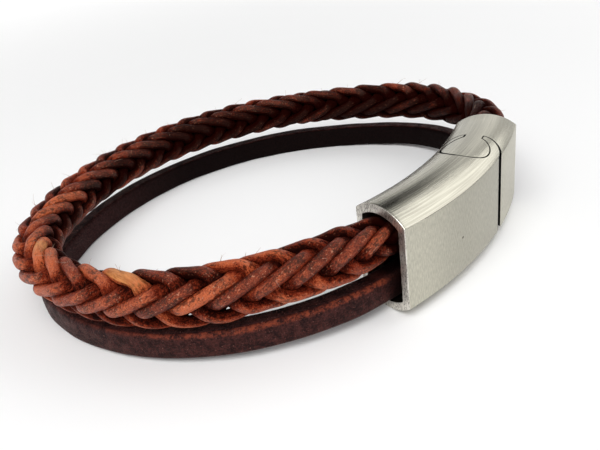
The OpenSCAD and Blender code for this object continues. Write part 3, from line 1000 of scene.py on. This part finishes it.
def steelMaterial():
    # Brushed steel: fine lines along the clasp on the rounded sides, and a soft satin on the flat
    # ones. The pattern's space is the length along the outer face, the radius and the height.
    v = clasp
    material, tree, shader = newMaterial("brushedSteel", v["plainColour"], roughness=0.3, metallic=1.0)
    coords = addNode(tree, "TexCoord").outputs
    centred = vectorCalc(tree, "SUBTRACT", coords["Object"], (*(claspCentre * mm), 0))
    east, north, height = addNode(tree, "SeparateXYZ", {0: centred[0]}).outputs
    heading = calc(tree, "ARCTAN2", east, times(tree, north, -1.0))
    along = times(tree, heading, loop["claspRadius"])
    level = addNode(tree, "CombineXYZ", {0: east, 1: north}).outputs[0]
    radial = times(tree, vectorCalc(tree, "LENGTH", level)["Value"], 1 / mm)
    up = times(tree, height, 1 / mm)
    place = addNode(tree, "CombineXYZ", {0: along, 1: radial, 2: up}).outputs[0]
    # The brushing is fainter from the tongue on
    lines = noise(tree, place, scale=1.0, detail=2.0, roughness=0.7, stretch=(0.09, 4.2, 4.2))
    strength = remap(tree, along, *v["brushAlong"])
    lines = plus(tree, 0.5, times(tree, strength, minus(tree, lines, 0.5)))
    satin = noise(tree, place, scale=1.0, detail=4.0, roughness=0.6, stretch=(7.0, 7.0, 1.3))
    clouds = noise(tree, place, scale=0.25, detail=3.0, roughness=0.5)
    facing = calc(tree, "ABSOLUTE", addNode(tree, "SeparateXYZ", {0: coords["Normal"]}).outputs[2])
    rounded = remap(tree, facing, *v["roundedRamp"])
    brushed = remap(tree, blendValues(tree, rounded, satin, lines), *v["brushRamp"])
    colour = blend(tree, brushed, *v["steelColours"])
    # Painted shade: the long half's flat side is a little darker away from its mouth
    onLongHalf = calc(tree, "LESS_THAN", along, v["seamAt"] + v["flatShadePastSeam"])
    darker = times(tree, remap(tree, along, *v["flatShadeAlong"]), onLongHalf, minus(tree, 1.0, rounded))
    colour = blend(tree, times(tree, darker, v["flatShadeShare"]), colour, v["flatShadeColour"])
    # Painted shade: the upright walls of the parting, which lie between the inner and the outer side,
    # are painted near black and not metallic
    fromMiddleLine = calc(tree, "ABSOLUTE", minus(tree, radial, loop["claspRadius"] - route["middle"]))
    fromMiddle = calc(tree, "ABSOLUTE", along)
    inside = times(tree, calc(tree, "LESS_THAN", facing, 0.5),
                   calc(tree, "LESS_THAN", fromMiddleLine, route["middle"] - v["wallInside"]),
                   calc(tree, "LESS_THAN", fromMiddle, v["partingReach"]))
    colour = blend(tree, inside, colour, v["partingShadeColour"])
    # Rims at the two mouths painted pale, a painted highlight, with brown stains of old polish
    rim = remap(tree, fromMiddle, *(loop["claspLength"] / 2 + end for end in v["rimFromEnd"]))
    colour = blend(tree, rim, colour, v["rimHighlightColour"])
    streaks = noise(tree, place, scale=1.3, detail=4.0, roughness=0.7, stretch=(1, 2, 0.5))
    cracks = calc(tree, "ABSOLUTE", minus(tree, streaks, 0.5))
    stain = times(tree, rim, remap(tree, cracks, *v["crackRamp"]))
    colour = blend(tree, times(tree, stain, v["stainShare"]), colour, v["stainColour"])
    # One small pit in the outer face
    fromPit = vectorCalc(tree, "DISTANCE", place, v["pitAt"])["Value"]
    colour = blend(tree, remap(tree, fromPit, *v["pitRamp"]), colour, v["pitColour"])
    rough = plus(tree, remap(tree, rounded, *v["roughRamp"]), times(tree, clouds, v["cloudRough"]))
    relief = blendValues(tree, rounded, times(tree, satin, v["satinRelief"]), lines)
    connect(tree, shader, {
        "Base Color": colour,
        "Roughness": rough,
        "Metallic": minus(tree, 1.0, inside),
        "Normal": bumpNormal(tree, relief, v),
    })
    return material


brushedSteel = steelMaterial()
longHalf, shortHalf = claspHalves()
addPiece("steel_long_half", longHalf, brushedSteel, "clasp_steel", "clasp_long_half")
addPiece("steel_short_half", shortHalf, brushedSteel, "clasp_steel", "clasp_short_half")
print("clasp: 2 halves")

# Studio

studio = {
    # Camera: degrees and millimetres
    "elevation": 29.39,
    "azimuth": 48.62,
    "roll": -8.72,
    "lens": 39.33,
    "distance": 108.77,
    "clipStart": 5.0,
    "target": (0.80, -2.85, 0.0),
    # Floor: half its side in metres, and its glow at two distances from the bracelet
    "floorColour": (0.95, 0.95, 0.95),
    "floorSize": 4.0,
    "floorGlow": (0.05, 0.5, 0.0, 0.55),
    # Softboxes: direction from the bracelet, distance and size in metres, power
    "softboxes": {
        "keyLight": ((-0.62, -0.27, 1.0), 0.52, (0.45, 0.34), 2.0),
        "sideLight": ((0.654, -0.407, 0.64), 0.8, (0.7, 0.5), 1.45),
    },
    # The surroundings: brightness low down and high up, the ramp between them, and patches:
    # direction, where it starts and is full in degrees, brightness
    "sky": (2.0, 1.0),
    "skyRamp": (0.0, 0.35),
    "skyStrength": 0.45,
    "patches": (((0.86, 0.36, 0.36), 21, 8, 2.4), ((0.56, 0.52, 0.64), 24, 15, 0.0)),
}


def makeCamera():
    # It looks at the target from its azimuth and elevation, rolled about its own line of sight
    v = studio
    e, a, r = (math.radians(v[name]) for name in ("elevation", "azimuth", "roll"))
    back = Vector((-math.sin(a) * math.cos(e), -math.cos(a) * math.cos(e), math.sin(e)))
    right = Vector((math.cos(a), -math.sin(a), 0))
    up = back.cross(right)
    rightRolled = right * math.cos(r) + up * math.sin(r)
    upRolled = up * math.cos(r) - right * math.sin(r)
    camera = newObject("camera", bpy.data.cameras.new("camera"))
    place = (Vector(v["target"]) + back * v["distance"]) * mm
    turned = Matrix((rightRolled, upRolled, back)).transposed().to_4x4()
    camera.matrix_world = Matrix.Translation(place) @ turned
    camera.data.lens = v["lens"]
    camera.data.clip_start = v["clipStart"] * mm
    bpy.context.scene.camera = camera


def makeFloor():
    # A level square with its middle under the bracelet
    size = studio["floorSize"]
    corners = [(-size, -size, 0), (size, -size, 0), (size, size, 0), (-size, size, 0)]
    mesh = bpy.data.meshes.new("floor")
    mesh.from_pydata(corners, [], [(0, 1, 2, 3)])
    # The floor glows a little far from the bracelet, so that it stays white to its edges
    material, tree, shader = newMaterial("paleFloor", studio["floorColour"], roughness=0.7)
    place = addNode(tree, "TexCoord").outputs["Object"]
    away = vectorCalc(tree, "LENGTH", place)["Value"]
    shader.inputs["Emission Color"].default_value = (1, 1, 1, 1)
    connect(tree, shader, {"Emission Strength": remap(tree, away, *studio["floorGlow"])})
    mesh.materials.append(material)
    floor = newObject("floor", mesh)


def addSoftbox(name, direction, distance, size, power):
    # It stands in its direction from the bracelet and faces back
    light = bpy.data.lights.new(name, "AREA")
    light.shape = "RECTANGLE"
    light.size, light.size_y = size
    light.energy = power
    lamp = newObject(name, light)
    towards = Vector(direction).normalized()
    lamp.location = towards * distance
    lamp.rotation_euler = towards.to_track_quat("Z", "Y").to_euler()


def makeLights():
    v = studio
    for name, values in v["softboxes"].items():
        addSoftbox(name, *values)
    world = bpy.data.worlds.new("studioWorld")
    bpy.context.scene.world = world
    world.use_nodes = True
    tree = world.node_tree
    background = tree.nodes["Background"]
    direction = addNode(tree, "TexCoord").outputs["Generated"]
    # White low down like a paper sweep, with a bright patch and a dark one for the clasp to reflect
    height = addNode(tree, "SeparateXYZ", {0: direction}).outputs[2]
    lowDown, highUp = ((value, value, value) for value in v["sky"])
    colour = blend(tree, remap(tree, height, *v["skyRamp"]), lowDown, highUp)
    for centre, wide, narrow, value in v["patches"]:
        near = vectorCalc(tree, "DOT_PRODUCT", direction, Vector(centre).normalized())["Value"]
        share = remap(tree, near, math.cos(math.radians(wide)), math.cos(math.radians(narrow)))
        colour = blend(tree, share, colour, (value, value, value))
    connect(tree, background, {"Color": colour})
    background.inputs["Strength"].default_value = v["skyStrength"]


makeCamera()
makeFloor()
makeLights()
print("studio: camera, floor and lights")
